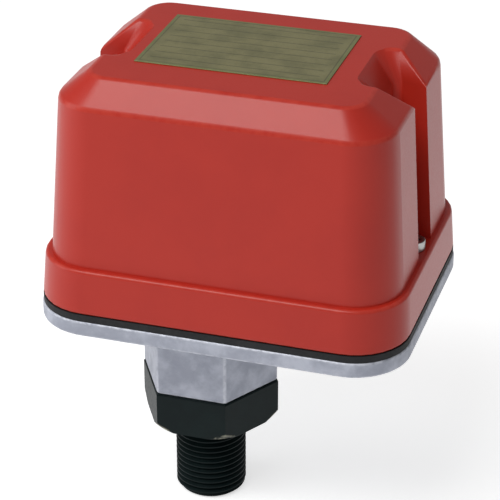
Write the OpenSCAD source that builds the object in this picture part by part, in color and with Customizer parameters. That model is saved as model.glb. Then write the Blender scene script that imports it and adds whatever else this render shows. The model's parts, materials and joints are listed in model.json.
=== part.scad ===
// Adjustable pressure switch with a male pipe thread, two snap-action switches and a lift-off cover.
// +Z is up. The origin is on the pipe thread's axis, at the face where the thread meets its hexagon.

/* [Pressure port] */
// Outside radius of the pipe thread over its crests
thread_radius = 10.67; // [8.5:0.01:13]
// Length of the pipe thread
thread_length = 27.3; // [18:0.1:34]
// Distance from one thread crest to the next
thread_pitch = 1.814; // [1.2:0.001:2.2]
// Depth of the thread
thread_depth = 1.15; // [0.8:0.05:1.3]
// Radius of the passage that leads the pressure in
passage_radius = 4; // [3:0.1:6]
// Distance across the flats of the port fitting's hexagon
port_flats = 37; // [30:0.1:46]
// Height of the port fitting's hexagon
port_hex_height = 12.8; // [9:0.1:18]
// Height of the turned chamfer on the hexagon's lower corners
port_chamfer = 2.2; // [1.5:0.1:2.8]
// Radius of the fitting's spigot, which clamps the diaphragm
spigot_radius = 12; // [10:0.1:14]
// Height of the spigot above the hexagon
spigot_height = 7.2; // [6:0.1:9]

/* [Base casting] */
// Length of the base plate, left to right
plate_length = 107.7; // [88:0.1:140]
// Width of the base plate, front to back
plate_width = 85.4; // [70:0.1:110]
// Thickness of the base plate
plate_thickness = 4.7; // [3.8:0.1:8]
// Corner radius of the base plate, seen from above
plate_corner = 16.4; // [10:0.1:20]
// Distance from the port's axis to the middle of the base plate
port_offset = 13.3; // [8:0.1:16]
// Distance across the flats of the casting's hexagonal boss
boss_flats = 36.6; // [30:0.1:46]
// Height of the hexagonal boss under the plate
boss_height = 30.7; // [25:0.1:40]
// Radius of the conduit opening
conduit_radius = 11.15; // [9:0.05:12.5]
// Distance from the plate's right edge to the conduit opening's axis
conduit_inset = 23.8; // [22:0.1:30]
// Height of the locating rim inside the cover
rim_height = 4; // [2.5:0.1:6]
// Thickness of the locating rim
rim_thickness = 2.2; // [1.5:0.1:3]

/* [Cover] */
// Wall thickness of the cover
cover_wall = 2.5; // [2:0.1:3]
// How far the plate stands out past the cover
plate_margin = 0.3; // [0.2:0.1:2]
// Height of the skirt at the foot of the cover
skirt_height = 13.2; // [10:0.1:18]
// How far the skirt's short sides lean in over its height
skirt_draft_x = 0.7; // [0.2:0.1:1.5]
// How far the skirt's long sides lean in over its height
skirt_draft_y = 1.4; // [0.2:0.1:2]
// Width of the ledge between the skirt and the walls
ledge_width = 1.9; // [1:0.1:3]
// Height of the walls above the skirt
wall_height = 46.8; // [38:0.1:60]
// How far the walls lean in over their height, on each side
wall_draft = 3.1; // [1:0.1:4]
// Height of the bevel round the top
bevel_height = 7.3; // [5:0.1:10]
// Width of the bevel along the short sides
bevel_x = 8.9; // [6:0.1:10]
// Width of the bevel along the long sides
bevel_y = 6.3; // [5:0.1:9]
// Depth of the screw grooves in the short sides
groove_depth = 9.2; // [7:0.1:10]
// Width of the screw grooves
groove_width = 15; // [12:0.1:20]
// Radius of the screw grooves' inner corners
groove_corner = 2.5; // [1.5:0.1:4]
// Length of the nameplate
label_length = 54.8; // [40:0.1:60]
// Width of the nameplate
label_width = 36.6; // [25:0.1:42]
// Thickness of the nameplate
label_thickness = 0.3; // [0.2:0.1:1]
// Thickness of the cover gasket
gasket_thickness = 2; // [1:0.1:3]

/* [Cover screws] */
// Distance from the plate's edge to each cover screw's axis
cover_screw_inset = 5.9; // [5.4:0.1:8]
// Radius of the cover screws' shanks
cover_screw_radius = 1.9; // [1.5:0.05:2.5]
// Radius of the cover screws' heads
cover_head_radius = 3; // [2.6:0.1:4]
// Height of the cover screws' heads
cover_head_height = 3; // [2:0.1:4]

/* [Sensing element] */
// Thickness of the diaphragm
diaphragm_thickness = 1.5; // [1:0.1:2]
// Radius of the piston
piston_radius = 9.3; // [8:0.1:10.5]
// Height of the piston
piston_height = 5.5; // [4:0.1:7]
// Radius of the plunger stem
stem_radius = 3; // [2.4:0.1:3.6]
// Radius of the collar that carries the range spring
collar_radius = 9.5; // [9.3:0.1:12]
// Thickness of the collar
collar_thickness = 2; // [1.5:0.1:3]
// Mean radius of the range spring's coils
spring_radius = 7.6; // [6.5:0.1:9]
// Radius of the range spring's wire
spring_wire = 1.1; // [0.8:0.05:1.3]
// Distance from one of the range spring's turns to the next, at rest
spring_pitch = 3.7; // [3.4:0.1:4.5]

/* [Range adjustment] */
// Radius of the adjustment wheel
wheel_radius = 16; // [12:0.1:19]
// Thickness of the adjustment wheel
wheel_thickness = 5.5; // [4:0.1:7]
// Number of finger notches round the wheel
wheel_notches = 24; // [12:1:30]
// Radius of the hollow adjusting screw
bushing_radius = 6.95; // [6:0.05:8]
// Travel of the wheel down from its highest place, where it is drawn
adjust_travel = 6; // [3:0.1:6.5]
// Thickness of the spring seat under the wheel
seat_thickness = 1.8; // [1.2:0.1:3]
// Thickness of the bridge that the adjusting screw turns in
bridge_thickness = 2; // [1.5:0.1:3]

/* [Mounting frame] */
// Thickness of the frame's sheet steel
sheet = 1.6; // [1.2:0.1:2]
// Distance from the port's axis to the frame's left edge
frame_left = 13; // [12:0.1:16]
// Distance from the port's axis to the frame's right edge
frame_right = 29; // [27:0.1:32]
// Radius of the small machine screws' shanks
small_screw_radius = 1.7; // [1.2:0.05:2]
// Radius of the small machine screws' heads
small_head_radius = 3; // [2.5:0.1:3.4]
// Height of the small machine screws' heads
small_head_height = 2.1; // [1.5:0.1:2.5]

/* [Snap-action switches] */
// Length of a switch case
switch_length = 49; // [42:0.1:52]
// Width of a switch case
switch_width = 17.5; // [15:0.1:19]
// Height of a switch case, without its ribs
switch_height = 16; // [14:0.1:18]
// Gap between the two switch cases
switch_gap = 10.5; // [9:0.1:13]
// Distance between a switch case's two fixing holes
switch_hole_spacing = 25.4; // [22:0.1:28]
// Height of the insulating ribs between the terminals
rib_height = 4.5; // [3.5:0.1:5]
// Radius of a switch button
button_radius = 2; // [1.5:0.1:2.5]
// How far a button stands out of its case
button_height = 1.4; // [1.2:0.1:2]
// Distance from the plunger's axis to a switch button
button_place = 8; // [7:0.1:12]
// Distance from the plunger's axis to the levers' pivots
pivot_place = 32; // [29:0.1:33]
// Thickness of the levers and of the plate that lifts them
strip = 0.6; // [0.4:0.05:0.8]
// Thickness of the plate on the plunger that lifts the levers
lifter_thickness = 1; // [0.8:0.1:1.5]

/* [Hidden] */
$fn = 64;

// Clearances
seat_fit = 0.1;      // between a screw or spigot and the hole that holds it
running_fit = 0.05;  // between a sliding or turning shaft and its bore
free_gap = 0.3;      // between parts that move past each other
skin = 0.02;         // thickness of the slabs that hulls are stretched between

// Heights of the outside, upwards from the port fitting's shoulder
boss_bottom = port_hex_height;
plate_bottom = boss_bottom + boss_height;
plate_top = plate_bottom + plate_thickness;
cover_bottom = plate_top + gasket_thickness;
ledge_level = cover_bottom + skirt_height;
wall_top = ledge_level + wall_height;
cover_top = wall_top + bevel_height;

// Half sizes of the cover, each as [x, y], about the middle of the plate
plate_half = [plate_length, plate_width] / 2;
skirt_half = plate_half - [plate_margin, plate_margin];
skirt_top_half = skirt_half - [skirt_draft_x, skirt_draft_y];
wall_half = skirt_top_half - [ledge_width, ledge_width];
wall_top_half = wall_half - [wall_draft, wall_draft];
top_half = wall_top_half - [bevel_x, bevel_y];
wall_corner = plate_corner - plate_margin - ledge_width;
wall_top_corner = wall_corner - wall_draft / 2;
top_corner = wall_top_corner / 2;
inside_corner = top_corner;
inside_top_half = wall_top_half - [cover_wall, cover_wall];
inside_foot_half = wall_half - [cover_wall - 1, cover_wall - 1];

// Screw grooves
groove_floor = wall_top_half[0] - groove_depth;
cover_screw_x = plate_half[0] - cover_screw_inset;
cover_boss_radius = cover_screw_radius + cover_wall;

// Inside the boss, upwards from the port
chamber_top = boss_bottom + spigot_height + diaphragm_thickness;
piston_room = piston_height + 6;
stem_socket = 3;
stud_radius = stem_radius - 1;

// Downwards from the cover's top to the range spring
head_room = 4.9;
thread_grip = 1;
switch_top = cover_top - cover_wall - head_room - rib_height;
switch_bottom = switch_top - switch_height;
button_tip = switch_bottom - button_height;
lever_top = button_tip - 0.2;
lifter_top = lever_top - strip - free_gap;
lifter_bottom = lifter_top - lifter_thickness;
bushing_top = lifter_bottom - free_gap;
bridge_bottom = bushing_top - adjust_travel - thread_grip;
bridge_top = bridge_bottom + bridge_thickness;
wheel_top = bridge_bottom - free_gap;
wheel_bottom = wheel_top - wheel_thickness;
seat_top = wheel_bottom - seat_fit;
seat_bottom = seat_top - seat_thickness;
guide_height = 2.8;
guide_radius = 7;
guide_top = plate_top + guide_height;
collar_top = guide_top + collar_thickness;
seat_radius = spring_radius + spring_wire + 1.5;
spring_length = seat_bottom - collar_top;
spring_turns = (spring_length - 2 * spring_wire) / spring_pitch;

// Frame, switches and their screws
switch_y = (switch_gap + switch_width) / 2;
switch_middle = 10.5;
switch_outer = switch_y + switch_width / 2;
frame_outer = switch_outer + sheet;
frame_top = switch_top - 2.5;
conduit_x = port_offset + plate_half[0] - conduit_inset;
web_right = min(frame_right, conduit_x - conduit_radius - 1);
frame_screw_x = [4 - frame_left, web_right - 5];
frame_screw_y = 16;
frame_screw_radius = 1.95;
blind = 0.7;
tab_height = 7.3;
bridge_half = 10;
bridge_screw_x = 6;
bridge_screw_z = bridge_top - 3.6;
switch_screw_z = switch_bottom + 5.5;
nut_thickness = 2.4;
terminal_pitch = switch_length / 3;
terminal_plate = [8, 9, 1];
terminal_depth = 5;
lever_width = 6;
lever_reach = 4;
pivot_z = lever_top - strip / 2;
pin_radius = 0.9;
barrel_radius = 1.7;
ear = [4, 1.2];
slot_width = 4.4;
pointer_width = 3;
scale_width = 8.5;
scale_thickness = 0.5;
ground_place = [40, -26];
ground_boss = [5, 3];
ground_plate = [9, 9, 1];

plate_red = [0.69, 0.20, 0.16];
zinc = [0.72, 0.74, 0.77];
steel = [0.66, 0.66, 0.64];
brass = [0.76, 0.62, 0.34];
black = [0.07, 0.09, 0.10];

// ---- Shapes that repeat ----

// Flat outline with round corners, centred
module rounded(half, corner) {
    square([2 * half[0], 2 * (half[1] - corner)], center = true);
    square([2 * (half[0] - corner), 2 * half[1]], center = true);
    for (sx = [-1, 1], sy = [-1, 1])
        translate([sx * (half[0] - corner), sy * (half[1] - corner)])
            circle(corner);
}

// Plate with round corners, standing on the height z about the middle of the case
module plate(half, corner, z, thickness) {
    translate([port_offset, 0, z])
        linear_extrude(thickness)
            rounded(half, corner);
}

// Thin slab for a hull to stretch from
module slab(half, corner, z) {
    plate(half, corner, z, skin, $fn = 32);
}

// Hexagonal prism with two corners on the X axis
module hexagon(flats, z, height) {
    translate([0, 0, z])
        cylinder(r = flats / sqrt(3), h = height, $fn = 6);
}

// Round shaft or hole standing on the height z
module round_bar(radius, z, height) {
    translate([0, 0, z])
        cylinder(r = radius, h = height);
}

// Slotted screw with its head's underside at the origin and its shank along -Z
module slotted_screw(shank, length, head, height) {
    slot = [2 * head + 1, 0.9, height / 2];
    translate([0, 0, -length])
        cylinder(r = shank, h = length);
    difference() {
        cylinder(r = head, h = height);
        translate([0, 0, height])
            cube([slot[0], slot[1], 2 * slot[2]], center = true);
    }
}

// Places its children at both cover screws, mirrored about the middle of the case
module at_cover_screws() {
    for (side = [-1, 1])
        translate([port_offset + side * cover_screw_x, 0, 0])
            children();
}

// Places its children on each frame screw's axis
module at_frame_screws(z) {
    for (x = frame_screw_x, y = [-frame_screw_y, frame_screw_y])
        translate([x, y, z])
            children();
}

// Places its children on an axis along Y, outward from the frame's two sides
module at_frame_sides(places, z) {
    for (x = places, side = [-1, 1])
        translate([x, side * frame_outer, z])
            rotate([side * -90, 0, 0])
                children();
}

// Places its children above each of the six terminals
module at_terminals() {
    for (x = [-1, 0, 1], y = [-switch_y, switch_y])
        translate([switch_middle + x * terminal_pitch, y, switch_top])
            children();
}

// ---- Pressure port and sensing element ----

// Zigzag profile of the thread: each crest has a short flat land
function thread_profile(count) = [
    for (i = [0 : count - 1])
        let (foot = -thread_length + 1 + i * thread_pitch)
            for (point = [
                [thread_radius - thread_depth, foot],
                [thread_radius, foot + 0.4 * thread_pitch],
                [thread_radius, foot + 0.7 * thread_pitch]
            ]) point
];

module threaded_shank() {
    count = floor((thread_length - 1) / thread_pitch);
    tip = thread_radius - thread_depth - 0.5;
    rotate_extrude()
        polygon(concat(
            [[0, -thread_length], [tip, -thread_length]],
            thread_profile(count),
            [[thread_radius - thread_depth, -thread_length + 1 + count * thread_pitch],
             [thread_radius, -free_gap], [thread_radius, 0], [0, 0]]));
}

module port_fitting() {
    corner = port_flats / sqrt(3);
    cup_depth = 4;
    color(black)
        difference() {
            union() {
                threaded_shank();
                intersection() {
                    hexagon(port_flats, 0, port_hex_height);
                    rotate_extrude()
                        polygon([[0, 0], [corner - port_chamfer, 0], [corner + 0.1, port_chamfer + 0.1],
                                 [corner + 0.1, port_hex_height], [0, port_hex_height]]);
                }
                round_bar(spigot_radius, port_hex_height, spigot_height);
            }
            round_bar(passage_radius, -thread_length - 1, thread_length + port_hex_height + spigot_height);
            round_bar(piston_radius, port_hex_height + spigot_height - cup_depth, cup_depth + 1);
        }
}

module diaphragm() {
    color([0.12, 0.12, 0.12])
        round_bar(spigot_radius, chamber_top - diaphragm_thickness, diaphragm_thickness);
}

module piston() {
    color(brass)
        difference() {
            round_bar(piston_radius, chamber_top, piston_height);
            round_bar(stem_radius + running_fit, chamber_top + piston_height - stem_socket, stem_socket + 1);
        }
}

module plunger_stem() {
    foot = chamber_top + piston_height - stem_socket;
    stud_length = lifter_thickness + nut_thickness + 1;
    color(steel) {
        round_bar(stem_radius, foot, lifter_bottom - foot);
        round_bar(stud_radius, lifter_bottom, stud_length);
    }
}

module plunger_collar() {
    color(brass)
        difference() {
            round_bar(collar_radius, guide_top, collar_thickness);
            round_bar(stem_radius + running_fit, guide_top - 1, collar_thickness + 2);
        }
}

// Ring k of the spring's wire, as points round the helix
function coil_ring(k, rings, sides) =
    let (turn = 360 * spring_turns * k / rings,
         z = collar_top + spring_wire + (spring_length - 2 * spring_wire) * k / rings)
    [for (i = [0 : sides - 1])
        let (a = 360 * i / sides, r = spring_radius + spring_wire * cos(a))
            [r * cos(turn), r * sin(turn), z + spring_wire * sin(a)]];

module range_spring() {
    sides = 10;
    rings = ceil(24 * spring_turns);
    points = [for (k = [0 : rings]) each coil_ring(k, rings, sides)];
    walls = [for (k = [0 : rings - 1], i = [0 : sides - 1])
        let (j = (i + 1) % sides)
            [k * sides + i, (k + 1) * sides + i, (k + 1) * sides + j, k * sides + j]];
    color(steel)
        polyhedron(points, concat(
            walls,
            [[for (i = [0 : sides - 1]) i], [for (i = [sides - 1 : -1 : 0]) rings * sides + i]]));
}

// ---- Range adjustment ----

module spring_seat() {
    pointer_end = frame_outer + free_gap + scale_thickness;
    pointer_tip = 1;
    color(steel)
        difference() {
            union() {
                round_bar(seat_radius, seat_bottom, seat_thickness);
                translate([-pointer_width / 2, -pointer_end - pointer_tip, seat_bottom])
                    cube([pointer_width, pointer_end + pointer_tip, seat_thickness]);
                translate([-pointer_width / 2, -pointer_end - pointer_tip, seat_bottom])
                    cube([2 * pointer_width, pointer_tip, seat_thickness]);
            }
            round_bar(stem_radius + free_gap, seat_bottom - 1, seat_thickness + 2);
        }
}

module adjustment_wheel() {
    color([0.80, 0.80, 0.78])
        difference() {
            round_bar(wheel_radius, wheel_bottom, wheel_thickness);
            round_bar(bushing_radius + running_fit, wheel_bottom - 1, wheel_thickness + 2);
            for (i = [0 : wheel_notches - 1])
                rotate([0, 0, i * 360 / wheel_notches])
                    translate([wheel_radius + 0.3, 0, wheel_bottom - 1])
                        cylinder(r = 1.2, h = wheel_thickness + 2, $fn = 24);
        }
}

module adjusting_screw() {
    color(brass)
        difference() {
            round_bar(bushing_radius, wheel_bottom, bushing_top - wheel_bottom);
            round_bar(stem_radius + free_gap, wheel_bottom - 1, bushing_top - wheel_bottom + 2);
        }
}

module spring_bridge() {
    color(steel)
        difference() {
            union() {
                translate([-bridge_half, -switch_outer, bridge_bottom])
                    cube([2 * bridge_half, 2 * switch_outer, bridge_thickness]);
                for (side = [0, 1])
                    mirror([0, side, 0])
                        translate([-bridge_half, switch_outer - bridge_thickness, bridge_top - tab_height])
                            cube([2 * bridge_half, bridge_thickness, tab_height]);
            }
            round_bar(bushing_radius + running_fit, bridge_bottom - 1, bridge_thickness + 2);
            at_frame_sides([-bridge_screw_x, bridge_screw_x], bridge_screw_z)
                translate([0, 0, -sheet - bridge_thickness - 1])
                    cylinder(r = small_screw_radius + seat_fit, h = bridge_thickness + 1);
        }
}

module bridge_screws() {
    color(steel)
        at_frame_sides([-bridge_screw_x, bridge_screw_x], bridge_screw_z)
            slotted_screw(small_screw_radius, sheet + bridge_thickness, small_head_radius, small_head_height);
}

module setting_scale() {
    middle = (seat_bottom + seat_top - adjust_travel) / 2;
    height = 2 * (bridge_screw_z - small_head_radius - free_gap - middle);
    color([0.90, 0.90, 0.86])
        translate([slot_width / 2 + 1, -frame_outer - scale_thickness, middle - height / 2])
            cube([scale_width, scale_thickness, height]);
}

// ---- Mounting frame ----

module frame_upright() {
    translate([-frame_left, switch_outer, plate_top])
        cube([frame_left + frame_right, sheet, frame_top - plate_top]);
}

module mounting_frame() {
    slot_bottom = seat_bottom - adjust_travel - free_gap;
    slot_top = seat_top + free_gap;
    switch_holes = [switch_middle - switch_hole_spacing / 2, switch_middle + switch_hole_spacing / 2];
    color(zinc)
        difference() {
            union() {
                frame_upright();
                mirror([0, 1, 0])
                    frame_upright();
                translate([-frame_left, -frame_outer, plate_top])
                    cube([frame_left + web_right, 2 * frame_outer, sheet]);
            }
            round_bar(collar_radius + 1, plate_top - 1, sheet + 2);
            at_frame_screws(plate_top - 1)
                cylinder(r = frame_screw_radius + seat_fit, h = sheet + 2);
            at_frame_sides([-bridge_screw_x, bridge_screw_x], bridge_screw_z)
                translate([0, 0, -sheet - 1])
                    cylinder(r = small_screw_radius + seat_fit, h = sheet + 2);
            at_frame_sides(switch_holes, switch_screw_z)
                translate([0, 0, -sheet - 1])
                    cylinder(r = small_screw_radius + seat_fit, h = sheet + 2);
            translate([-slot_width / 2, -frame_outer - 1, slot_bottom])
                cube([slot_width, sheet + 2, slot_top - slot_bottom]);
        }
}

module frame_screws() {
    color(steel)
        at_frame_screws(plate_top + sheet)
            slotted_screw(frame_screw_radius, sheet + plate_thickness - 1, small_head_radius, small_head_height);
}

// ---- Plunger's lifter ----

module lifter_plate() {
    half_width = 4;
    color(steel)
        difference() {
            translate([-half_width, -switch_y - lever_width / 2, lifter_bottom])
                cube([2 * half_width, 2 * switch_y + lever_width, lifter_thickness]);
            round_bar(stud_radius + running_fit, lifter_bottom - 1, lifter_thickness + 2);
        }
}

module lifter_nut() {
    color(steel)
        difference() {
            hexagon(6, lifter_top, nut_thickness);
            round_bar(stud_radius + running_fit, lifter_top - 1, nut_thickness + 2);
        }
}

// ---- Snap-action switches, drawn for the rear one and mirrored for the front ----

module switch_case() {
    left = switch_middle - switch_length / 2;
    side = switch_y - switch_width / 2;
    rib = 1.2;
    ear_bottom = pivot_z - barrel_radius - 0.3;
    color([0.30, 0.16, 0.10])
        difference() {
            union() {
                translate([left, side, switch_bottom])
                    cube([switch_length, switch_width, switch_height]);
                for (x = [-0.5, 0.5])
                    translate([switch_middle + x * terminal_pitch - rib / 2, side + 1, switch_top])
                        cube([rib, switch_width - 2, rib_height]);
                for (y = [-1, 1])
                    translate([pivot_place - ear[0] / 2,
                               switch_y + y * (lever_width / 2 + free_gap + ear[1] / 2) - ear[1] / 2,
                               ear_bottom])
                        cube([ear[0], ear[1], switch_bottom - ear_bottom]);
            }
            translate([button_place, switch_y, switch_bottom - 1])
                cylinder(r = button_radius + running_fit, h = 5.5);
            for (x = [-1, 1])
                translate([switch_middle + x * switch_hole_spacing / 2, side - 1, switch_screw_z])
                    rotate([-90, 0, 0])
                        cylinder(r = small_screw_radius + seat_fit, h = switch_width + 2);
            at_terminals()
                translate([0, 0, -terminal_depth - 0.5])
                    cylinder(r = small_screw_radius + seat_fit, h = terminal_depth + 1);
            translate([pivot_place, side - 1, pivot_z])
                rotate([-90, 0, 0])
                    cylinder(r = pin_radius + running_fit, h = switch_width + 2, $fn = 32);
        }
}

module rear_switch_case() {
    switch_case();
}

module front_switch_case() {
    mirror([0, 1, 0])
        switch_case();
}

module lever() {
    color(steel)
        difference() {
            union() {
                translate([-lever_reach, switch_y - lever_width / 2, pivot_z - strip / 2])
                    cube([pivot_place + lever_reach, lever_width, strip]);
                translate([pivot_place, switch_y - lever_width / 2, pivot_z])
                    rotate([-90, 0, 0])
                        cylinder(r = barrel_radius, h = lever_width, $fn = 32);
            }
            translate([pivot_place, switch_y - lever_width / 2 - 1, pivot_z])
                rotate([-90, 0, 0])
                    cylinder(r = pin_radius + running_fit, h = lever_width + 2, $fn = 32);
        }
}

module rear_lever() {
    lever();
}

module front_lever() {
    mirror([0, 1, 0])
        lever();
}

module button() {
    color([0.85, 0.83, 0.78])
        translate([button_place, switch_y, button_tip])
            cylinder(r = button_radius, h = button_height + 2.4);
}

module rear_button() {
    button();
}

module front_button() {
    mirror([0, 1, 0])
        button();
}

module lever_pins() {
    length = lever_width + 2 * free_gap + 2 * ear[1];
    color(steel)
        for (y = [-switch_y, switch_y])
            translate([pivot_place, y - length / 2, pivot_z])
                rotate([-90, 0, 0])
                    cylinder(r = pin_radius, h = length, $fn = 32);
}

module switch_screws() {
    length = sheet + switch_width + nut_thickness + 0.4;
    holes = [switch_middle - switch_hole_spacing / 2, switch_middle + switch_hole_spacing / 2];
    color(steel)
        at_frame_sides(holes, switch_screw_z)
            slotted_screw(small_screw_radius, length, small_head_radius, small_head_height);
}

module switch_nuts() {
    holes = [switch_middle - switch_hole_spacing / 2, switch_middle + switch_hole_spacing / 2];
    color(steel)
        at_frame_sides(holes, switch_screw_z)
            translate([0, 0, -sheet - switch_width - nut_thickness])
                difference() {
                    hexagon(5.5, 0, nut_thickness);
                    round_bar(small_screw_radius + running_fit, -1, nut_thickness + 2);
                }
}

module terminal_clamps() {
    color(brass)
        at_terminals()
            difference() {
                translate([0, 0, terminal_plate[2] / 2])
                    cube(terminal_plate, center = true);
                round_bar(small_screw_radius + seat_fit, -1, terminal_plate[2] + 2);
            }
}

module terminal_screws() {
    color(steel)
        at_terminals()
            translate([0, 0, terminal_plate[2]])
                slotted_screw(small_screw_radius, terminal_depth, small_head_radius, small_head_height);
}

module ground_clamp() {
    color(brass)
        translate([ground_place[0], ground_place[1], plate_top + ground_boss[1]])
            difference() {
                translate([0, 0, ground_plate[2] / 2])
                    cube(ground_plate, center = true);
                round_bar(frame_screw_radius + seat_fit, -1, ground_plate[2] + 2);
            }
}

module ground_screw() {
    color([0.12, 0.42, 0.20])
        translate([ground_place[0], ground_place[1], plate_top + ground_boss[1] + ground_plate[2]])
            slotted_screw(frame_screw_radius, ground_boss[1] + 3, small_head_radius + 1, small_head_height + 0.5);
}

// ---- Base casting and cover ----

module locating_rim() {
    outer = inside_foot_half - [0.4, 0.4];
    inner = outer - [rim_thickness, rim_thickness];
    difference() {
        plate(outer, inside_corner + 1, plate_top, rim_height);
        plate(inner, inside_corner, plate_top - 1, rim_height + 2);
        at_cover_screws()
            translate([0, 0, plate_top - 1])
                cylinder(r = cover_boss_radius + 1.5, h = rim_height + 2);
    }
}

module base_casting() {
    color(zinc)
        difference() {
            union() {
                plate(plate_half, plate_corner, plate_bottom, plate_thickness);
                hexagon(boss_flats, boss_bottom, boss_height + 1);
                round_bar(guide_radius, plate_top - 1, guide_height + 1);
                locating_rim();
                translate([ground_place[0], ground_place[1], plate_top - 1])
                    cylinder(r = ground_boss[0], h = ground_boss[1] + 1);
            }
            round_bar(spigot_radius + seat_fit, boss_bottom - 1, chamber_top - boss_bottom + 1);
            round_bar(piston_radius + running_fit, chamber_top - 1, piston_room + 1);
            round_bar(stem_radius + running_fit, chamber_top, guide_top - chamber_top + 1);
            translate([conduit_x, 0, plate_bottom - 1])
                cylinder(r = conduit_radius, h = plate_thickness + 2);
            at_cover_screws()
                translate([0, 0, plate_bottom - 1])
                    cylinder(r = cover_screw_radius + seat_fit, h = plate_thickness + 2);
            at_frame_screws(plate_bottom + blind)
                cylinder(r = frame_screw_radius + seat_fit, h = plate_thickness);
            translate([ground_place[0], ground_place[1], plate_top + ground_boss[1] - 6])
                cylinder(r = frame_screw_radius + seat_fit, h = 7);
        }
}

module cover_gasket() {
    inner = inside_foot_half;
    color(black)
        difference() {
            union() {
                difference() {
                    plate(skirt_half, plate_corner - plate_margin, plate_top, gasket_thickness);
                    plate(inner, inside_corner + 1, plate_top - 1, gasket_thickness + 2);
                }
                at_cover_screws()
                    translate([0, 0, plate_top])
                        cylinder(r = cover_boss_radius, h = gasket_thickness);
            }
            at_cover_screws()
                translate([0, 0, plate_top - 1])
                    cylinder(r = cover_screw_radius + seat_fit, h = gasket_thickness + 2);
        }
}

// Outline of a screw groove, open to the right, from the middle of the case
module groove_outline(floor_x, half_width, corner) {
    reach = plate_half[0];
    translate([floor_x + corner, -half_width])
        square([reach - floor_x, 2 * half_width]);
    translate([floor_x, corner - half_width])
        square([reach - floor_x, 2 * (half_width - corner)]);
    for (y = [-1, 1])
        translate([floor_x + corner, y * (half_width - corner)])
            circle(corner);
}

// Groove for a cover screw: a straight channel whose mouth has a bevel all round.
// grow widens it by a wall, for the side that faces into the case.
module screw_groove(side, grow) {
    half_width = groove_width / 2 + grow;
    floor_x = groove_floor - grow;
    corner = groove_corner + grow;
    mouth = bevel_y - grow / 2;
    low = wall_top - grow / 2;
    high = cover_top - grow;
    translate([port_offset, 0, 0])
        mirror([side, 0, 0]) {
            translate([0, 0, ledge_level - grow])
                linear_extrude(high - ledge_level + grow)
                    groove_outline(floor_x, half_width, corner);
            hull() {
                translate([0, 0, low])
                    linear_extrude(skin)
                        groove_outline(floor_x, half_width, corner, $fn = 32);
                translate([0, 0, high])
                    linear_extrude(skin)
                        groove_outline(floor_x - mouth, half_width + mouth, corner + mouth / 2, $fn = 32);
            }
        }
}

module cover_outside() {
    hull() {
        slab(skirt_half, plate_corner - plate_margin, cover_bottom);
        slab(skirt_top_half, plate_corner - plate_margin, ledge_level - skin);
    }
    hull() {
        slab(wall_half, wall_corner, cover_bottom + skirt_height / 2);
        slab(wall_half, wall_corner, ledge_level);
        slab(wall_top_half, wall_top_corner, wall_top);
        slab(top_half, top_corner, cover_top - skin);
    }
}

module cover_inside() {
    difference() {
        hull() {
            slab(inside_foot_half, inside_corner, cover_bottom - 1);
            slab(inside_top_half, inside_corner, wall_top - cover_wall / 2);
            slab(top_half - [cover_wall / 2, cover_wall / 2], top_corner, cover_top - cover_wall);
        }
        for (side = [0, 1])
            screw_groove(side, cover_wall);
    }
}

module cover() {
    color(plate_red)
        difference() {
            union() {
                difference() {
                    cover_outside();
                    cover_inside();
                }
                at_cover_screws()
                    translate([0, 0, cover_bottom])
                        cylinder(r = cover_boss_radius, h = skirt_height - 0.5);
            }
            for (side = [0, 1])
                screw_groove(side, 0);
            at_cover_screws()
                translate([0, 0, cover_bottom - 1])
                    cylinder(r = cover_screw_radius + free_gap, h = skirt_height + 2);
        }
}

module nameplate() {
    color([0.55, 0.50, 0.33])
        translate([port_offset - 1.5, 1.6, cover_top + label_thickness / 2])
            cube([label_length, label_width, label_thickness], center = true);
}

module cover_screws() {
    length = ledge_level - plate_bottom - blind;
    socket_depth = 1.6;
    socket_flats = 2.8;
    color([0.55, 0.55, 0.55])
        at_cover_screws()
            difference() {
                union() {
                    round_bar(cover_head_radius, ledge_level, cover_head_height);
                    round_bar(cover_screw_radius, ledge_level - length, length);
                }
                hexagon(socket_flats, ledge_level + cover_head_height - socket_depth, socket_depth + 1);
            }
}

base_casting();
port_fitting();
diaphragm();
piston();
plunger_stem();
plunger_collar();
range_spring();
spring_seat();
adjustment_wheel();
adjusting_screw();
spring_bridge();
mounting_frame();
frame_screws();
bridge_screws();
setting_scale();
lifter_plate();
lifter_nut();
front_switch_case();
rear_switch_case();
front_lever();
rear_lever();
front_button();
rear_button();
lever_pins();
switch_screws();
switch_nuts();
terminal_clamps();
terminal_screws();
ground_clamp();
ground_screw();
cover_gasket();
cover();
nameplate();
cover_screws();
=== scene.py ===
"""A pressure switch: a red cover on a cast base plate, over a hexagonal boss and a threaded port.

Inside are the range spring with its wheel, and two snap-action switches on a bracket.
Most pieces are the frame's own shapes with their edges rounded as they were cast, moulded or turned.
The port fitting, the adjusting screw's thread and the range spring are modelled here from new.
"""

import json
import math

import bmesh
import bpy
from mathutils import Matrix, Vector

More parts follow.
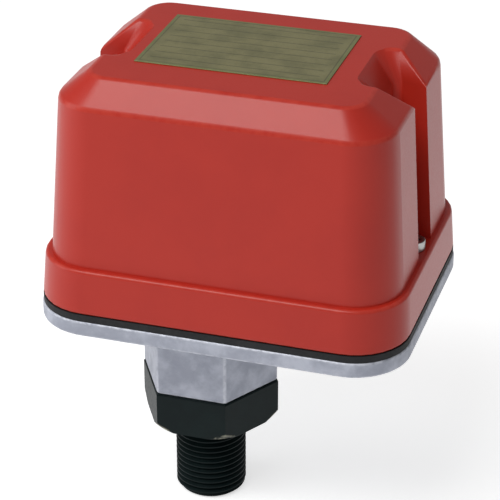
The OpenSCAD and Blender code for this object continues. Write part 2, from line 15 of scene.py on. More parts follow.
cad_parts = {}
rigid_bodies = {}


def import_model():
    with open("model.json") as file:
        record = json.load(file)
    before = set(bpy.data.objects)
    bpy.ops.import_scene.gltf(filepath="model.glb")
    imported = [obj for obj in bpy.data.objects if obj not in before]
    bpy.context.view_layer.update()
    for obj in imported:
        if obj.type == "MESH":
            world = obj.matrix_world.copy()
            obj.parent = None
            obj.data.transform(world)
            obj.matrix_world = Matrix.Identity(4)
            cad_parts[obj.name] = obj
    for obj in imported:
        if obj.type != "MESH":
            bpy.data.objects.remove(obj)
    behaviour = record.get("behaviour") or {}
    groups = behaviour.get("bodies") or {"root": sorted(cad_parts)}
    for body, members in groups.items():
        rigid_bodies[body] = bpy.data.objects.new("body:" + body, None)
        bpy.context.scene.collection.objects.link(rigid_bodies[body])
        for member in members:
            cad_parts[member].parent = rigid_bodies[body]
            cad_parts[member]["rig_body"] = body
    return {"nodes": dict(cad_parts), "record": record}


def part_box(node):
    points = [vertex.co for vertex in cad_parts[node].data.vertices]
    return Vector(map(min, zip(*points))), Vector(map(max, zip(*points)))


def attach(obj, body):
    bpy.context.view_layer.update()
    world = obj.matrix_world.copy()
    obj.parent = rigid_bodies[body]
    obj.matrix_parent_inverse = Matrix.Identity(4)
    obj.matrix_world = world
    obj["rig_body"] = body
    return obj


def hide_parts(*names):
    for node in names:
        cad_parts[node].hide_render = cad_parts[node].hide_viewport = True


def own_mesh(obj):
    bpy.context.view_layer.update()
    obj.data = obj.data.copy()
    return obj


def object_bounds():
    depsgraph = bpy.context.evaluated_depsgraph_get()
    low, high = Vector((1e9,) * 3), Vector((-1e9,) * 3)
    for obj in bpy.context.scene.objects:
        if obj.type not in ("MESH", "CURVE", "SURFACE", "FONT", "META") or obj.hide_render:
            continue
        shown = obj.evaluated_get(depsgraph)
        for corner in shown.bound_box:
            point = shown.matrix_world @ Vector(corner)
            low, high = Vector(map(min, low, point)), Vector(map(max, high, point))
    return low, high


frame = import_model()
CAD_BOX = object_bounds()

MM = 0.001
UP = Vector((0, 0, 1))
ORIGIN = Vector((0, 0, 0))
SLOT_OF_NODE = {part["node"]: part["material_slot"] for part in frame["record"]["subparts"]}


# ---------------------------------------------------------------- colours and shader groups


def shade(red, green, blue):
    """A colour given as 0 to 255 values, turned into the linear values that a shader takes."""

    def linear(value):
        share = value / 255
        if share <= 0.04045:
            return share / 12.92
        return ((share + 0.055) / 1.055) ** 2.4

    return (linear(red), linear(green), linear(blue), 1.0)


def new_group(name, inputs, outputs):
    """An empty shader group with its sockets, and its two end nodes."""
    group = bpy.data.node_groups.new(name, "ShaderNodeTree")
    for label, kind in inputs:
        group.interface.new_socket(label, in_out="INPUT", socket_type="NodeSocket" + kind)
    for label, kind in outputs:
        group.interface.new_socket(label, in_out="OUTPUT", socket_type="NodeSocket" + kind)
    start = group.nodes.new("NodeGroupInput")
    end = group.nodes.new("NodeGroupOutput")
    return group, start, end


def add_noise(tree, position, detail, roughness):
    """A noise texture in a tree, reading the given position."""
    noise = tree.nodes.new("ShaderNodeTexNoise")
    noise.inputs["Detail"].default_value = detail
    noise.inputs["Roughness"].default_value = roughness
    tree.links.new(position, noise.inputs["Vector"])
    return noise


def add_range(tree, value, low, high):
    """A value stretched so that low becomes 0 and high becomes 1."""
    stretch = tree.nodes.new("ShaderNodeMapRange")
    stretch.interpolation_type = "SMOOTHSTEP"
    stretch.inputs["From Min"].default_value = low
    stretch.inputs["From Max"].default_value = high
    tree.links.new(value, stretch.inputs["Value"])
    return stretch.outputs["Result"]


def add_math(tree, operation, first, second):
    """A Math node of two inputs, each a socket or a number."""
    node = tree.nodes.new("ShaderNodeMath")
    node.operation = operation
    for socket, value in zip(node.inputs, (first, second)):
        if isinstance(value, (int, float)):
            socket.default_value = value
        else:
            tree.links.new(value, socket)
    return node.outputs["Value"]


def add_mix(tree, share, first, second):
    """A mix of two colours, each a socket or a colour."""
    node = tree.nodes.new("ShaderNodeMix")
    node.data_type = "RGBA"
    for socket, value in ((node.inputs[0], share), (node.inputs[6], first), (node.inputs[7], second)):
        if isinstance(value, (int, float, tuple)):
            socket.default_value = value
        else:
            tree.links.new(value, socket)
    return node.outputs[2]


def mottle_group():
    """Blotches of a second colour, as a casting's skin or a faded finish has."""
    inputs = [
        ("Position", "Vector"), ("Scale", "Float"), ("Amount", "Float"),
        ("Colour", "Color"), ("Blotch", "Color"),
    ]
    group, start, end = new_group("mottle", inputs, [("Colour", "Color"), ("Mask", "Float")])
    noise = add_noise(group, start.outputs["Position"], 5.0, 0.62)
    group.links.new(start.outputs["Scale"], noise.inputs["Scale"])
    blotches = add_range(group, noise.outputs["Fac"], 0.38, 0.66)
    mask = add_math(group, "MULTIPLY", blotches, start.outputs["Amount"])
    colour = add_mix(group, mask, start.outputs["Colour"], start.outputs["Blotch"])
    group.links.new(colour, end.inputs["Colour"])
    group.links.new(mask, end.inputs["Mask"])
    return group


def edge_wear_and_highlight_group():
    """A second colour along the rounded edges, broken up by noise, read from the mesh's edge attribute. It
    is rubbing on most pieces, and a painted highlight on the port fitting's cone crescents.
    """
    inputs = [("Position", "Vector"), ("Colour", "Color"), ("Rubbed And Highlight", "Color"), ("Amount", "Float")]
    group, start, end = new_group("edge_wear_and_highlight", inputs, [("Colour", "Color"), ("Mask", "Float")])
    edge = group.nodes.new("ShaderNodeAttribute")
    edge.attribute_name = "edge"
    noise = add_noise(group, start.outputs["Position"], 4.0, 0.6)
    flake_scale = 420.0
    noise.inputs["Scale"].default_value = flake_scale
    broken = add_range(group, noise.outputs["Fac"], 0.3, 0.62)
    worn = add_math(group, "MULTIPLY", edge.outputs["Fac"], broken)
    mask = add_math(group, "MULTIPLY", worn, start.outputs["Amount"])
    colour = add_mix(group, mask, start.outputs["Colour"], start.outputs["Rubbed And Highlight"])
    group.links.new(colour, end.inputs["Colour"])
    group.links.new(mask, end.inputs["Mask"])
    return group


def grain_group():
    """A fine grain's height, and a mask that varies the gloss with it."""
    inputs = [("Position", "Vector"), ("Scale", "Float"), ("Gloss Low", "Float"), ("Gloss High", "Float")]
    group, start, end = new_group("grain", inputs, [("Height", "Float"), ("Roughness", "Float")])
    noise = add_noise(group, start.outputs["Position"], 6.0, 0.65)
    group.links.new(start.outputs["Scale"], noise.inputs["Scale"])
    group.links.new(noise.outputs["Fac"], end.inputs["Height"])
    stretch = group.nodes.new("ShaderNodeMapRange")
    stretch.inputs["From Min"].default_value = 0.3
    stretch.inputs["From Max"].default_value = 0.7
    group.links.new(noise.outputs["Fac"], stretch.inputs["Value"])
    group.links.new(start.outputs["Gloss Low"], stretch.inputs["To Min"])
    group.links.new(start.outputs["Gloss High"], stretch.inputs["To Max"])
    group.links.new(stretch.outputs["Result"], end.inputs["Roughness"])
    return group


MOTTLE = mottle_group()
EDGE_WEAR_AND_HIGHLIGHT = edge_wear_and_highlight_group()
GRAIN = grain_group()


def add_group(tree, group, position, values):
    """A group placed in a tree, with its values set."""
    node = tree.nodes.new("ShaderNodeGroup")
    node.node_tree = group
    tree.links.new(position, node.inputs["Position"])
    for label, value in values.items():
        if isinstance(value, bpy.types.NodeSocket):
            tree.links.new(value, node.inputs[label])
        else:
            node.inputs[label].default_value = value
    return node


def finish(name, colour, blotch, rubbed_and_highlight_colour, mottle, rubbing_and_highlight_amount, grain, gloss, metallic=0.0, stretch=(1, 1, 1),
           specular=0.5):
    """A material: blotches, a second colour on its edges (rubbing, and on the black nylon a painted
    highlight), grain and gloss, each from its group.

    mottle is the blotches' scale and amount, grain is its scale, bump strength and bump depth in mm, and
    gloss the lowest and highest roughness. stretch pulls the pattern out along an axis, as brushing does.
    """
    material = bpy.data.materials.new(name)
    material.use_nodes = True
    tree = material.node_tree
    shader = tree.nodes["Principled BSDF"]
    place = tree.nodes.new("ShaderNodeTexCoord")
    mapping = tree.nodes.new("ShaderNodeMapping")
    mapping.inputs["Scale"].default_value = stretch
    tree.links.new(place.outputs["Object"], mapping.inputs["Vector"])
    position = mapping.outputs["Vector"]
    blotch_scale, blotch_amount = mottle
    grain_scale, bump_strength, bump_depth = grain
    glossiest, dullest = gloss
    blotches = {"Scale": blotch_scale, "Colour": colour, "Blotch": blotch, "Amount": blotch_amount}
    skin = add_group(tree, MOTTLE, position, blotches)
    # The edges' second colour and its amount: rubbing on most materials, a painted highlight on the black
    # nylon's crescents.
    worn = {"Colour": skin.outputs["Colour"], "Rubbed And Highlight": rubbed_and_highlight_colour, "Amount": rubbing_and_highlight_amount}
    edges = add_group(tree, EDGE_WEAR_AND_HIGHLIGHT, position, worn)
    gloss_values = {"Scale": grain_scale, "Gloss Low": glossiest, "Gloss High": dullest}
    fine = add_group(tree, GRAIN, position, gloss_values)
    bump = tree.nodes.new("ShaderNodeBump")
    bump.inputs["Strength"].default_value = bump_strength
    bump.inputs["Distance"].default_value = bump_depth * MM
    tree.links.new(fine.outputs["Height"], bump.inputs["Height"])
    tree.links.new(edges.outputs["Colour"], shader.inputs["Base Color"])
    tree.links.new(fine.outputs["Roughness"], shader.inputs["Roughness"])
    tree.links.new(bump.outputs["Normal"], shader.inputs["Normal"])
    shader.inputs["Metallic"].default_value = metallic
    shader.inputs["Specular IOR Level"].default_value = specular
    return material


# ---------------------------------------------------------------- materials


def red_enamel():
    """The cover's satin red paint, a little chalky in patches and lighter on its edges."""
    return finish("red_enamel", shade(183, 43, 29), shade(175, 38, 26), shade(204, 72, 56),
                  mottle=(38, 0.6), rubbing_and_highlight_amount=0.35, grain=(1500, 0.05, 0.03),
                  gloss=(0.31, 0.38), specular=0.36)


def cast_aluminium():
    """The base's sand-grey casting, with pale blotches and bright worn rims."""
    return finish("cast_aluminium", shade(158, 162, 175), shade(190, 194, 206), shade(216, 219, 228),
                  mottle=(110, 0.75), rubbing_and_highlight_amount=0.8, grain=(520, 0.5, 0.25), gloss=(0.42, 0.62), metallic=0.35)


def black_nylon():
    """The port fitting's black moulding, with a green cast and a pale painted highlight on the crescents of
    its turned corners.
    """
    # The third colour is a painted highlight: the light's reflection on the hex's turned corner crescents.
    return finish("black_nylon", shade(13, 25, 26), shade(19, 33, 33), shade(186, 184, 164),
                  mottle=(110, 0.6), rubbing_and_highlight_amount=0.9, grain=(1300, 0.15, 0.05), gloss=(0.38, 0.5), specular=0.12)


def black_rubber():
    """The gasket's and the diaphragm's dull black rubber."""
    return finish("black_rubber", shade(24, 25, 27), shade(38, 39, 41), shade(52, 53, 55),
                  mottle=(200, 0.6), rubbing_and_highlight_amount=0.4, grain=(1800, 0.3, 0.08), gloss=(0.6, 0.8), specular=0.35)


def turned_brass():
    """Machined brass, slightly tarnished."""
    return finish("turned_brass", shade(206, 172, 104), shade(168, 134, 78), shade(236, 210, 148),
                  mottle=(220, 0.5), rubbing_and_highlight_amount=0.5, grain=(300, 0.12, 0.03),
                  gloss=(0.22, 0.4), metallic=1.0, stretch=(1, 1, 9))


def plated_steel():
    """Zinc-plated bar and strip."""
    return finish("plated_steel", shade(186, 187, 184), shade(158, 160, 160), shade(222, 223, 222),
                  mottle=(180, 0.5), rubbing_and_highlight_amount=0.4, grain=(420, 0.1, 0.03),
                  gloss=(0.26, 0.42), metallic=1.0, stretch=(1, 6, 1))


def drawn_steel():
    """Drawn spring wire and lever strip."""
    return finish("drawn_steel", shade(168, 168, 170), shade(138, 139, 143), shade(208, 208, 210),
                  mottle=(260, 0.5), rubbing_and_highlight_amount=0.4, grain=(700, 0.12, 0.03), gloss=(0.22, 0.38), metallic=1.0)


def turned_wheel():
    """The adjusting wheel's turned aluminium."""
    return finish("turned_wheel", shade(206, 206, 202), shade(180, 181, 178), shade(236, 236, 232),
                  mottle=(160, 0.4), rubbing_and_highlight_amount=0.5, grain=(260, 0.12, 0.03),
                  gloss=(0.24, 0.4), metallic=1.0, stretch=(1, 1, 12))


def zinc_sheet():
    """The bracket's zinc-plated sheet, with its cloudy spangle."""
    return finish("zinc_sheet", shade(190, 192, 194), shade(160, 164, 168), shade(216, 218, 220),
                  mottle=(90, 0.8), rubbing_and_highlight_amount=0.4, grain=(640, 0.14, 0.03), gloss=(0.3, 0.48), metallic=0.95)


def screw_steel():
    """The screws' and nuts' plating."""
    return finish("screw_steel", shade(176, 176, 174), shade(140, 141, 142), shade(214, 214, 212),
                  mottle=(320, 0.6), rubbing_and_highlight_amount=0.6, grain=(900, 0.14, 0.03), gloss=(0.26, 0.42), metallic=1.0)


def brown_phenolic():
    """The switch cases' dark brown moulding."""
    return finish("brown_phenolic", shade(62, 36, 26), shade(76, 46, 32), shade(108, 74, 56),
                  mottle=(140, 0.7), rubbing_and_highlight_amount=0.4, grain=(1000, 0.2, 0.06), gloss=(0.28, 0.42))


def ivory_button():
    """The switches' ivory push buttons."""
    return finish("ivory_button", shade(222, 216, 200), shade(208, 200, 182), shade(238, 234, 222),
                  mottle=(260, 0.4), rubbing_and_highlight_amount=0.4, grain=(1200, 0.1, 0.03), gloss=(0.24, 0.36))


def ground_green():
    """The earth terminal's green dyed plating."""
    return finish("ground_green", shade(44, 122, 66), shade(34, 98, 54), shade(128, 168, 132),
                  mottle=(240, 0.6), rubbing_and_highlight_amount=0.6, grain=(800, 0.14, 0.03), gloss=(0.28, 0.44), metallic=0.5)


def add_stripes(tree, value, first, pitch, width):
    """1 on stripes of a width across a value in metres, one to each pitch, and 0 between them."""
    moved = add_math(tree, "SUBTRACT", value, first)
    wrapped = add_math(tree, "FLOORED_MODULO", moved, pitch)
    return add_math(tree, "LESS_THAN", wrapped, width)


def add_window(tree, value, low, high):
    """1 where a value lies between low and high, and 0 elsewhere."""
    above = add_math(tree, "GREATER_THAN", value, low)
    below = add_math(tree, "LESS_THAN", value, high)
    return add_math(tree, "MULTIPLY", above, below)


def object_axes(tree):
    """The three object coordinates in metres, as sockets."""
    place = tree.nodes.new("ShaderNodeTexCoord")
    split = tree.nodes.new("ShaderNodeSeparateXYZ")
    tree.links.new(place.outputs["Object"], split.inputs["Vector"])
    return split.outputs["X"], split.outputs["Y"], split.outputs["Z"]


def paint_over(material, mask, paint):
    """Puts a paint colour over a material where the mask is 1."""
    tree = material.node_tree
    shader = tree.nodes["Principled BSDF"]
    under = shader.inputs["Base Color"].links[0].from_socket
    tree.links.new(add_mix(tree, mask, under, paint), shader.inputs["Base Color"])


def olive_foil():
    """The nameplate's olive foil: a plain border line and blank ruled rows, with no lettering."""
    low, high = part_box("nameplate")
    material = finish("olive_foil", shade(136, 131, 92), shade(112, 110, 76), shade(120, 132, 78),
                      mottle=(120, 0.75), rubbing_and_highlight_amount=0.5, grain=(1100, 0.12, 0.03),
                      gloss=(0.34, 0.5), metallic=0.3)
    tree = material.node_tree
    x, y = object_axes(tree)[:2]
    middle = (low + high) / 2
    half = (high - low) / 2
    border = 1.0 * MM
    line = 0.35 * MM
    margin = 2.2 * MM
    row_height = 4.1 * MM
    ruled_line = 0.41 * MM
    band_strength = 0.35
    ink_strength = 0.5
    across = add_math(tree, "ABSOLUTE", add_math(tree, "SUBTRACT", x, middle.x), 0.0)
    along = add_math(tree, "ABSOLUTE", add_math(tree, "SUBTRACT", y, middle.y), 0.0)
    in_x = add_math(tree, "SUBTRACT", across, half.x - border)
    in_y = add_math(tree, "SUBTRACT", along, half.y - border)
    reach = add_math(tree, "MAXIMUM", in_x, in_y)
    frame_line = add_window(tree, reach, -line, 0.0)
    edge_band = add_math(tree, "GREATER_THAN", reach, 0.0)
    inside = add_math(tree, "LESS_THAN", reach, -margin)
    rows = add_stripes(tree, y, low.y, row_height, ruled_line)
    ruled = add_math(tree, "MULTIPLY", rows, inside)
    ink = add_math(tree, "MAXIMUM", ruled, frame_line)
    paint_over(material, add_math(tree, "MULTIPLY", edge_band, band_strength), shade(112, 128, 74))
    paint_over(material, add_math(tree, "MULTIPLY", ink, ink_strength), shade(58, 58, 42))
    return material


def scale_plate():
    """The setting scale's white plastic with plain tick marks, every fifth one longer."""
    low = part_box("setting_scale")[0]
    material = finish("scale_plate", shade(232, 231, 222), shade(220, 218, 206), shade(242, 242, 236),
                      mottle=(160, 0.4), rubbing_and_highlight_amount=0.3, grain=(1200, 0.1, 0.03), gloss=(0.34, 0.48))
    tree = material.node_tree
    x, _, z = object_axes(tree)
    first_tick = low.z + 0.2 * MM
    tick_pitch = 0.6 * MM
    tick_width = 0.144 * MM
    tick_start = low.x + 0.6 * MM
    short_end = low.x + 3.0 * MM
    long_end = low.x + 5.2 * MM
    ticks = add_stripes(tree, z, first_tick, tick_pitch, tick_width)
    long_ticks = add_stripes(tree, z, first_tick, 5 * tick_pitch, tick_width)
    near_edge = add_window(tree, x, tick_start, short_end)
    wide = add_window(tree, x, tick_start, long_end)
    short = add_math(tree, "MULTIPLY", ticks, near_edge)
    long = add_math(tree, "MULTIPLY", long_ticks, wide)
    paint_over(material, add_math(tree, "MAXIMUM", short, long), shade(26, 26, 28))
    return material


MATERIALS = {
    "casting": cast_aluminium(),
    "nylon": black_nylon(),
    "rubber": black_rubber(),
    "brass": turned_brass(),
    "steel": plated_steel(),
    "spring_steel": drawn_steel(),
    "wheel": turned_wheel(),
    "zinc_sheet": zinc_sheet(),
    "screw_steel": screw_steel(),
    "scale": scale_plate(),
    "phenolic": brown_phenolic(),
    "button": ivory_button(),
    "ground_green": ground_green(),
    "cover_red": red_enamel(),
    "label": olive_foil(),
}


# ---------------------------------------------------------------- shaping


def mark_edges(shape, faces):
    """Writes 1 in the edge attribute on the points that lie inside the rounded strips."""
    layer = shape.verts.layers.float.get("edge") or shape.verts.layers.float.new("edge")
    strips = set(faces)
    for point in shape.verts:
        if point.link_faces and all(face in strips for face in point.link_faces):
            point[layer] = 1.0


def round_edges(shape, width, sharpness, segments, clamp=True, where=None):
    """Rounds the edges that turn by more than sharpness degrees, or those of them that where() picks."""
    limit = math.radians(sharpness)
    corners = [
        edge
        for edge in shape.edges
        if len(edge.link_faces) == 2 and edge.calc_face_angle(0) > limit and (where is None or where(edge))
    ]
    made = bmesh.ops.bevel(
        shape, geom=corners, offset=width, offset_type="OFFSET", segments=segments, affect="EDGES",
        profile=0.5, material=-1, clamp_overlap=clamp,
    )
    return made["faces"]


def frame_shape(node, merge=0.004):
    """A copy of a frame node's mesh, points closer than merge in mm made one, its flat faces whole again."""
    shape = bmesh.new()
    shape.from_mesh(frame["nodes"][node].data)
    bmesh.ops.remove_doubles(shape, verts=shape.verts, dist=merge * MM)
    flat = math.radians(0.6)
    bmesh.ops.dissolve_limit(
        shape, angle_limit=flat, use_dissolve_boundaries=False, verts=shape.verts, edges=shape.edges
    )
    return shape


def place_piece(name, shape, node, smooth=32):
    """Makes the shape an object that stands for the node, rides its body and takes its slot's finish."""
    mesh = bpy.data.meshes.new(name)
    shape.to_mesh(mesh)
    shape.free()
    piece = bpy.data.objects.new(name, mesh)
    bpy.context.scene.collection.objects.link(piece)
    mesh.shade_smooth()
    mesh.set_sharp_from_angle(angle=math.radians(smooth))
    mesh.materials.append(MATERIALS[SLOT_OF_NODE[node]])
    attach(piece, frame["nodes"][node]["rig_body"])
    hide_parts(node)
    return piece


def keep_flats_flat(piece):
    """Weighs normals by face size, so that a rounded edge does not shade the flat beside it."""
    weights = piece.modifiers.new("flats", "WEIGHTED_NORMAL")
    weights.mode = "FACE_AREA"
    weights.weight = 80
    weights.keep_sharp = True


def rounded_piece(node, width, segments):
    """A frame node with its sharp edges rounded by a width in mm."""
    sharp_turn = 30
    shape = frame_shape(node)
    strips = round_edges(shape, width * MM, sharp_turn, segments)
    mark_edges(shape, strips)
    piece = place_piece(node + "_finished", shape, node)
    keep_flats_flat(piece)
    return piece


# ---------------------------------------------------------------- the cover and the base


def cover():
    """The cover's shell, its outer edges well rounded. The edges in the two screw grooves stay sharp."""
    low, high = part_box("cover")
    middle = (low + high) / 2
    groove_reach = 12.5 * MM
    groove_start = 26 * MM
    shape = frame_shape("cover", merge=0.05)

    def in_groove(point):
        return abs(point.co.y - middle.y) < groove_reach and abs(point.co.x - middle.x) > groove_start

    def outer_edge(edge):
        return edge.is_convex and not all(in_groove(point) for point in edge.verts)

    rounding = 1.0 * MM
    strips = round_edges(shape, rounding, 20, 4, clamp=False, where=outer_edge)
    mark_edges(shape, strips)
    piece = place_piece("cover_shell", shape, "cover", 24)
    keep_flats_flat(piece)
    return piece


def base_casting():
    """The base casting: its plate's and its boss's outer edges rounded, as the mould leaves them."""
    shape = frame_shape("base_casting", merge=0.02)
    long_enough = 0.8 * MM

    def cast_edge(edge):
        return edge.is_convex and edge.calc_length() > long_enough

    rounding = 0.8 * MM
    strips = round_edges(shape, rounding, 28, 3, clamp=False, where=cast_edge)
    mark_edges(shape, strips)
    piece = place_piece("base_casting_rounded", shape, "base_casting", 32)
    keep_flats_flat(piece)
    return piece


# ---------------------------------------------------------------- the port fitting and its thread


def ring_of(shape, radius, height, segments):
    """A closed ring of points around the Z axis."""
    place = Matrix.Translation((0, 0, height))
    made = bmesh.ops.create_circle(shape, cap_ends=False, segments=segments, radius=radius, matrix=place)
    return made["verts"]


def points_of(items):
    """The points among what an operator returns."""
    return [item for item in items if isinstance(item, bmesh.types.BMVert)]


def open_edges_of(items):
    """The edges with a face on one side only, among what an operator returns."""
    return [item for item in items if isinstance(item, bmesh.types.BMEdge) and item.is_boundary]


def set_reach(point, reach):
    """Moves a point straight in or out, to that distance from the Z axis."""
    share = reach / math.hypot(point.co.x, point.co.y)
    point.co.x *= share
    point.co.y *= share


def threaded_rod(whole, crest, depth, pitch, bottom, top, segments, tip, bore):
    """Adds a right-hand thread from bottom to top, its lowest turns cut to a tip cone, with a bore."""
    shape = bmesh.new()
    close = 0.01 * MM
    tip_slope = 1.2
    turns = math.ceil((top - bottom) / pitch) + 2
    root = crest - depth
    start = bottom - pitch
    # Each point is a distance from the axis and a share of the pitch: the root, a flank, the crest, a flank.
    profile = ((root, 0.0), (root, 0.12), (crest, 0.46), (crest, 0.62), (root, 0.96), (root, 1.0))
    points = [shape.verts.new((radius, 0, start + share * pitch)) for radius, share in profile]
    edges = [shape.edges.new(pair) for pair in zip(points, points[1:])]
    bmesh.ops.spin(
        shape, geom=points + edges, cent=ORIGIN, axis=UP, dvec=(0, 0, pitch / segments),
        angle=2 * math.pi * turns, steps=segments * turns, use_merge=False,
    )
    seam = 0.002 * MM
    bmesh.ops.remove_doubles(shape, verts=shape.verts, dist=seam)
    for height, normal in ((bottom, -UP), (top, UP)):
        everything = shape.verts[:] + shape.edges[:] + shape.faces[:]
        cut = {"plane_co": (0, 0, height), "plane_no": normal}
        bmesh.ops.bisect_plane(shape, geom=everything, clear_outer=True, **cut)
    for point in shape.verts:
        limit = tip + (point.co.z - bottom) * tip_slope
        if math.hypot(point.co.x, point.co.y) > limit:
            set_reach(point, limit)
    for height, inward in ((bottom, 1), (top, -1)):
        level = {point for point in shape.verts if abs(point.co.z - height) < close}
        rim = [edge for edge in shape.edges if edge.is_boundary and level.issuperset(edge.verts)]
        moved = bmesh.ops.extrude_edge_only(shape, edges=rim)["geom"]
        for point in points_of(moved):
            set_reach(point, bore)
        deeper = bmesh.ops.extrude_edge_only(shape, edges=open_edges_of(moved))["geom"]
        bmesh.ops.translate(shape, verts=points_of(deeper), vec=(0, 0, inward * (top - bottom) / 2))
    bmesh.ops.remove_doubles(shape, verts=shape.verts, dist=close)
    bmesh.ops.recalc_face_normals(shape, faces=shape.faces)
    thread = bpy.data.meshes.new("thread")
    shape.to_mesh(thread)
    shape.free()
    whole.from_mesh(thread)
    bpy.data.meshes.remove(thread)


def port_hexagon(shape, flats, bottom, top, face_radius, bore):
    """A hexagonal collar whose lower corners are turned off to a cone, leaving curved crescents."""
    sixth = math.pi / 3
    slope = 1.1
    soft = 0.45 * MM
    inside = bore + 0.5 * MM
    segments = 144
    base = ring_of(shape, flats / 2, bottom, segments)
    rim = [edge for edge in shape.edges if all(point in base for point in edge.verts)]

    def hex_reach(point):
        turn = math.atan2(point.co.y, point.co.x) % sixth
        return flats / 2 / math.cos(turn - sixth / 2)

    def cone_height(reach):
        return bottom + 0.05 * MM + max(0.0, reach - face_radius) * slope

    def next_ring(edges, reach_of, height_of):
        made = bmesh.ops.extrude_edge_only(shape, edges=edges)["geom"]
        for point in points_of(made):
            turn = math.atan2(point.co.y, point.co.x)
            reach = reach_of(point)
            point.co = Vector((math.cos(turn) * reach, math.sin(turn) * reach, height_of(reach)))
        return open_edges_of(made)

    for point in base:
        set_reach(point, inside)
    flat = next_ring(rim, lambda point: min(face_radius, hex_reach(point)), lambda reach: bottom)
    cone = next_ring(flat, hex_reach, cone_height)
    lower = next_ring(cone, hex_reach, lambda reach: cone_height(reach) + soft)
    upper = next_ring(lower, hex_reach, lambda reach: top - soft)
    crown = next_ring(upper, lambda point: hex_reach(point) - soft, lambda reach: top)
    next_ring(crown, lambda point: inside, lambda reach: top)
    # The edge attribute marks the corner crescents of the cone, where the fitting's material paints a pale
    # highlight.
    layer = shape.verts.layers.float.new("edge")
    for point in shape.verts:
        reach = math.hypot(point.co.x, point.co.y)
        on_cone = reach > face_radius - 0.01 * MM and point.co.z < cone_height(reach) + 0.1 * soft
        if on_cone and hex_reach(point) > face_radius + 0.4 * MM:
            point[layer] = 1.0


def port_fitting():
    """The black fitting: a hexagonal collar, a relief groove and a pipe thread with a true helix."""
    low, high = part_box("port_fitting")
    crest = frame["record"]["mounts"][0]["dims"]["r_mm"] * MM
    flats = high.y - low.y
    collar_top = 12.8 * MM
    turned_face = flats / 2 + 0.8 * MM
    passage = 4 * MM
    depth = 1.15 * MM
    pitch = 1.814 * MM
    tip = crest - 1.7 * MM
    relief = 1.2 * MM
    neck = crest - depth - 0.25 * MM
    neck_length = 2 * relief
    segments = 72
    shape = bmesh.new()
    port_hexagon(shape, flats, 0, collar_top, turned_face, passage)
    threaded_rod(shape, crest, depth, pitch, low.z, -relief, segments, tip, passage)
    bmesh.ops.create_cone(
        shape, cap_ends=True, segments=segments, radius1=neck, radius2=neck, depth=neck_length,
        matrix=Matrix.Translation((0, 0, -neck_length / 3)),
    )
    bmesh.ops.recalc_face_normals(shape, faces=shape.faces)
    piece = place_piece("port_fitting_threaded", shape, "port_fitting", 28)
    keep_flats_flat(piece)
    return piece


def adjusting_screw():
    """The hollow adjusting screw inside the wheel, with the thread that lifts the spring seat."""
    low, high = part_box("adjusting_screw")
    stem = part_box("plunger_stem")[1].x
    bore = min(stem + 0.3 * MM, 0.6 * high.x)
    depth = 0.7 * MM
    pitch = 1.5 * MM
    tip = high.x - depth
    shape = bmesh.new()
    threaded_rod(shape, high.x, depth, pitch, low.z, high.z, 48, tip, bore)
    piece = place_piece("adjusting_screw_threaded", shape, "adjusting_screw", 28)
    keep_flats_flat(piece)
    return piece


# ---------------------------------------------------------------- the range spring


def coil_stretch(shape, ring, turns, climb, steps):
    """Carries a ring of wire round the Z axis for some turns, climbing as it goes."""
    made = bmesh.ops.spin(
        shape, geom=ring, cent=ORIGIN, axis=UP, dvec=(0, 0, climb / steps),
        angle=2 * math.pi * turns, steps=steps, use_merge=False,
    )
    return made["geom_last"]


def range_spring():
    """The range spring's wire: a closed coil at each end and open coils between."""
    low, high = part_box("range_spring")
    wire = 1.1 * MM
    radius = high.x - wire
    bottom = low.z + wire
    height = high.z - low.z - 2 * wire
    closed_turns = 0.75
    open_turns = 3.5
    closed_climb = 0.9 * wire
    steps_a_turn = 40
    shape = bmesh.new()
    stand = Matrix.Translation((radius, 0, bottom)) @ Matrix.Rotation(math.pi / 2, 4, "X")
    made = bmesh.ops.create_circle(shape, cap_ends=True, segments=14, radius=wire, matrix=stand)
    ring = made["verts"] + list({edge for point in made["verts"] for edge in point.link_edges})
    closed_coil = (closed_turns, closed_climb)
    open_coils = (open_turns, height - 2 * closed_climb)
    for turns, climb in (closed_coil, open_coils, closed_coil):
        ring = coil_stretch(shape, ring, turns, climb, int(turns * steps_a_turn))
    ends = [edge for edge in shape.edges if edge.is_boundary]
    bmesh.ops.holes_fill(shape, edges=ends, sides=0)
    bmesh.ops.recalc_face_normals(shape, faces=shape.faces)
    piece = place_piece("range_spring_wire", shape, "range_spring", 50)
    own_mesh(piece)
    return piece


# ---------------------------------------------------------------- the other pieces

# Each node's rounding in mm, and how many strips of faces make it
ROUNDED = {
    "cover_gasket": (0.4, 2),
    "nameplate": (0.1, 2),
    "cover_screws": (0.25, 2),
    "adjustment_wheel": (0.25, 2),
    "spring_seat": (0.3, 2),
    "spring_bridge": (0.3, 2),
    "mounting_frame": (0.3, 2),
    "lifter_plate": (0.2, 2),
    "lifter_nut": (0.3, 2),
    "plunger_collar": (0.2, 2),
    "front_switch_case": (0.35, 2),
    "rear_switch_case": (0.35, 2),
    "front_lever": (0.1, 2),
    "rear_lever": (0.1, 2),
    "front_button": (0.5, 3),
    "rear_button": (0.5, 3),
    "terminal_clamps": (0.2, 2),
    "terminal_screws": (0.15, 2),
    "ground_clamp": (0.2, 2),
    "ground_screw": (0.2, 2),
    "frame_screws": (0.2, 2),
    "bridge_screws": (0.2, 2),
    "switch_screws": (0.2, 2),
    "switch_nuts": (0.2, 2),
    "setting_scale": (0.1, 2),
}


def other_pieces():
    """The rounded pieces, and the finish of every node that stays as the frame has it."""
    for node, (width, segments) in ROUNDED.items():
        rounded_piece(node, width, segments)
    for node, piece in frame["nodes"].items():
        piece.data.materials.clear()
        piece.data.materials.append(MATERIALS[SLOT_OF_NODE[node]])


# ---------------------------------------------------------------- floor, lights and camera


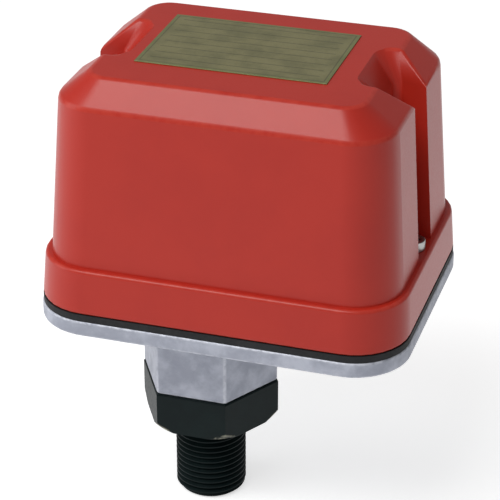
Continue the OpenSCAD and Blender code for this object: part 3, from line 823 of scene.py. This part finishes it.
def floor_material():
    """A pale floor that looks white to the camera and in reflections, and still takes a shadow."""
    material = bpy.data.materials.new("pale_floor")
    material.use_nodes = True
    tree = material.node_tree
    tree.nodes.clear()
    glow_strength = 0.6
    pale_grey = (0.8, 0.8, 0.8, 1)
    path = tree.nodes.new("ShaderNodeLightPath")
    seen = add_math(tree, "MAXIMUM", path.outputs["Is Camera Ray"], path.outputs["Is Glossy Ray"])
    seen = add_math(tree, "MAXIMUM", seen, path.outputs["Is Transmission Ray"])
    glow = tree.nodes.new("ShaderNodeEmission")
    glow.inputs["Color"].default_value = (1, 1, 1, 1)
    tree.links.new(add_math(tree, "MULTIPLY", seen, glow_strength), glow.inputs["Strength"])
    matt = tree.nodes.new("ShaderNodeBsdfDiffuse")
    matt.inputs["Color"].default_value = pale_grey
    both = tree.nodes.new("ShaderNodeAddShader")
    tree.links.new(glow.outputs[0], both.inputs[0])
    tree.links.new(matt.outputs[0], both.inputs[1])
    output = tree.nodes.new("ShaderNodeOutputMaterial")
    tree.links.new(both.outputs[0], output.inputs["Surface"])
    return material


def add_floor():
    """A wide plain floor under the port's tip."""
    half_width = 20
    height = CAD_BOX[0][2]
    shape = bmesh.new()
    bmesh.ops.create_grid(shape, x_segments=1, y_segments=1, size=half_width)
    bmesh.ops.translate(shape, verts=shape.verts, vec=(0, 0, height))
    mesh = bpy.data.meshes.new("floor")
    shape.to_mesh(mesh)
    shape.free()
    floor = bpy.data.objects.new("floor", mesh)
    bpy.context.scene.collection.objects.link(floor)
    mesh.materials.append(floor_material())


def aim(thing, target):
    """Turns a lamp or the camera to look at a target."""
    direction = Vector(target) - thing.location
    thing.rotation_euler = direction.to_track_quat("-Z", "Y").to_euler()


def add_softbox(name, place, target, size, power):
    """A rectangular soft lamp."""
    lamp = bpy.data.lights.new(name, "AREA")
    lamp.shape = "RECTANGLE"
    lamp.size, lamp.size_y = size
    lamp.energy = power
    softbox = bpy.data.objects.new(name, lamp)
    bpy.context.scene.collection.objects.link(softbox)
    softbox.location = place
    aim(softbox, target)


def add_lights():
    """A soft key high over the front left, a weaker fill low on the left, and an even grey world."""
    centre = (0.013, 0, 0.07)
    world_strength = 0.32
    add_softbox("key", place=(-0.22, -0.46, 0.80), target=centre, size=(0.62, 0.34), power=4.6)
    add_softbox("left_fill", place=(-0.8, -0.35, 0.35), target=centre, size=(0.5, 0.6), power=2.0)
    world = bpy.data.worlds.new("studio")
    bpy.context.scene.world = world
    world.use_nodes = True
    background = world.node_tree.nodes["Background"]
    background.inputs["Color"].default_value = (1, 1, 1, 1)
    background.inputs["Strength"].default_value = world_strength


def add_camera():
    """A long lens in front, to the right and above, held level."""
    place = (0.173596, -0.514902, 0.337598)
    target = (0.012496, 0.0, 0.055273)
    camera = bpy.data.cameras.new("camera")
    camera.lens = 150.78
    camera.sensor_width = 36
    view = bpy.data.objects.new("camera", camera)
    bpy.context.scene.collection.objects.link(view)
    view.location = place
    aim(view, target)
    bpy.context.scene.camera = view


add_camera()
add_floor()
add_lights()
bpy.context.scene.view_settings.view_transform = "Standard"
other_pieces()
cover()
base_casting()
port_fitting()
adjusting_screw()
range_spring()
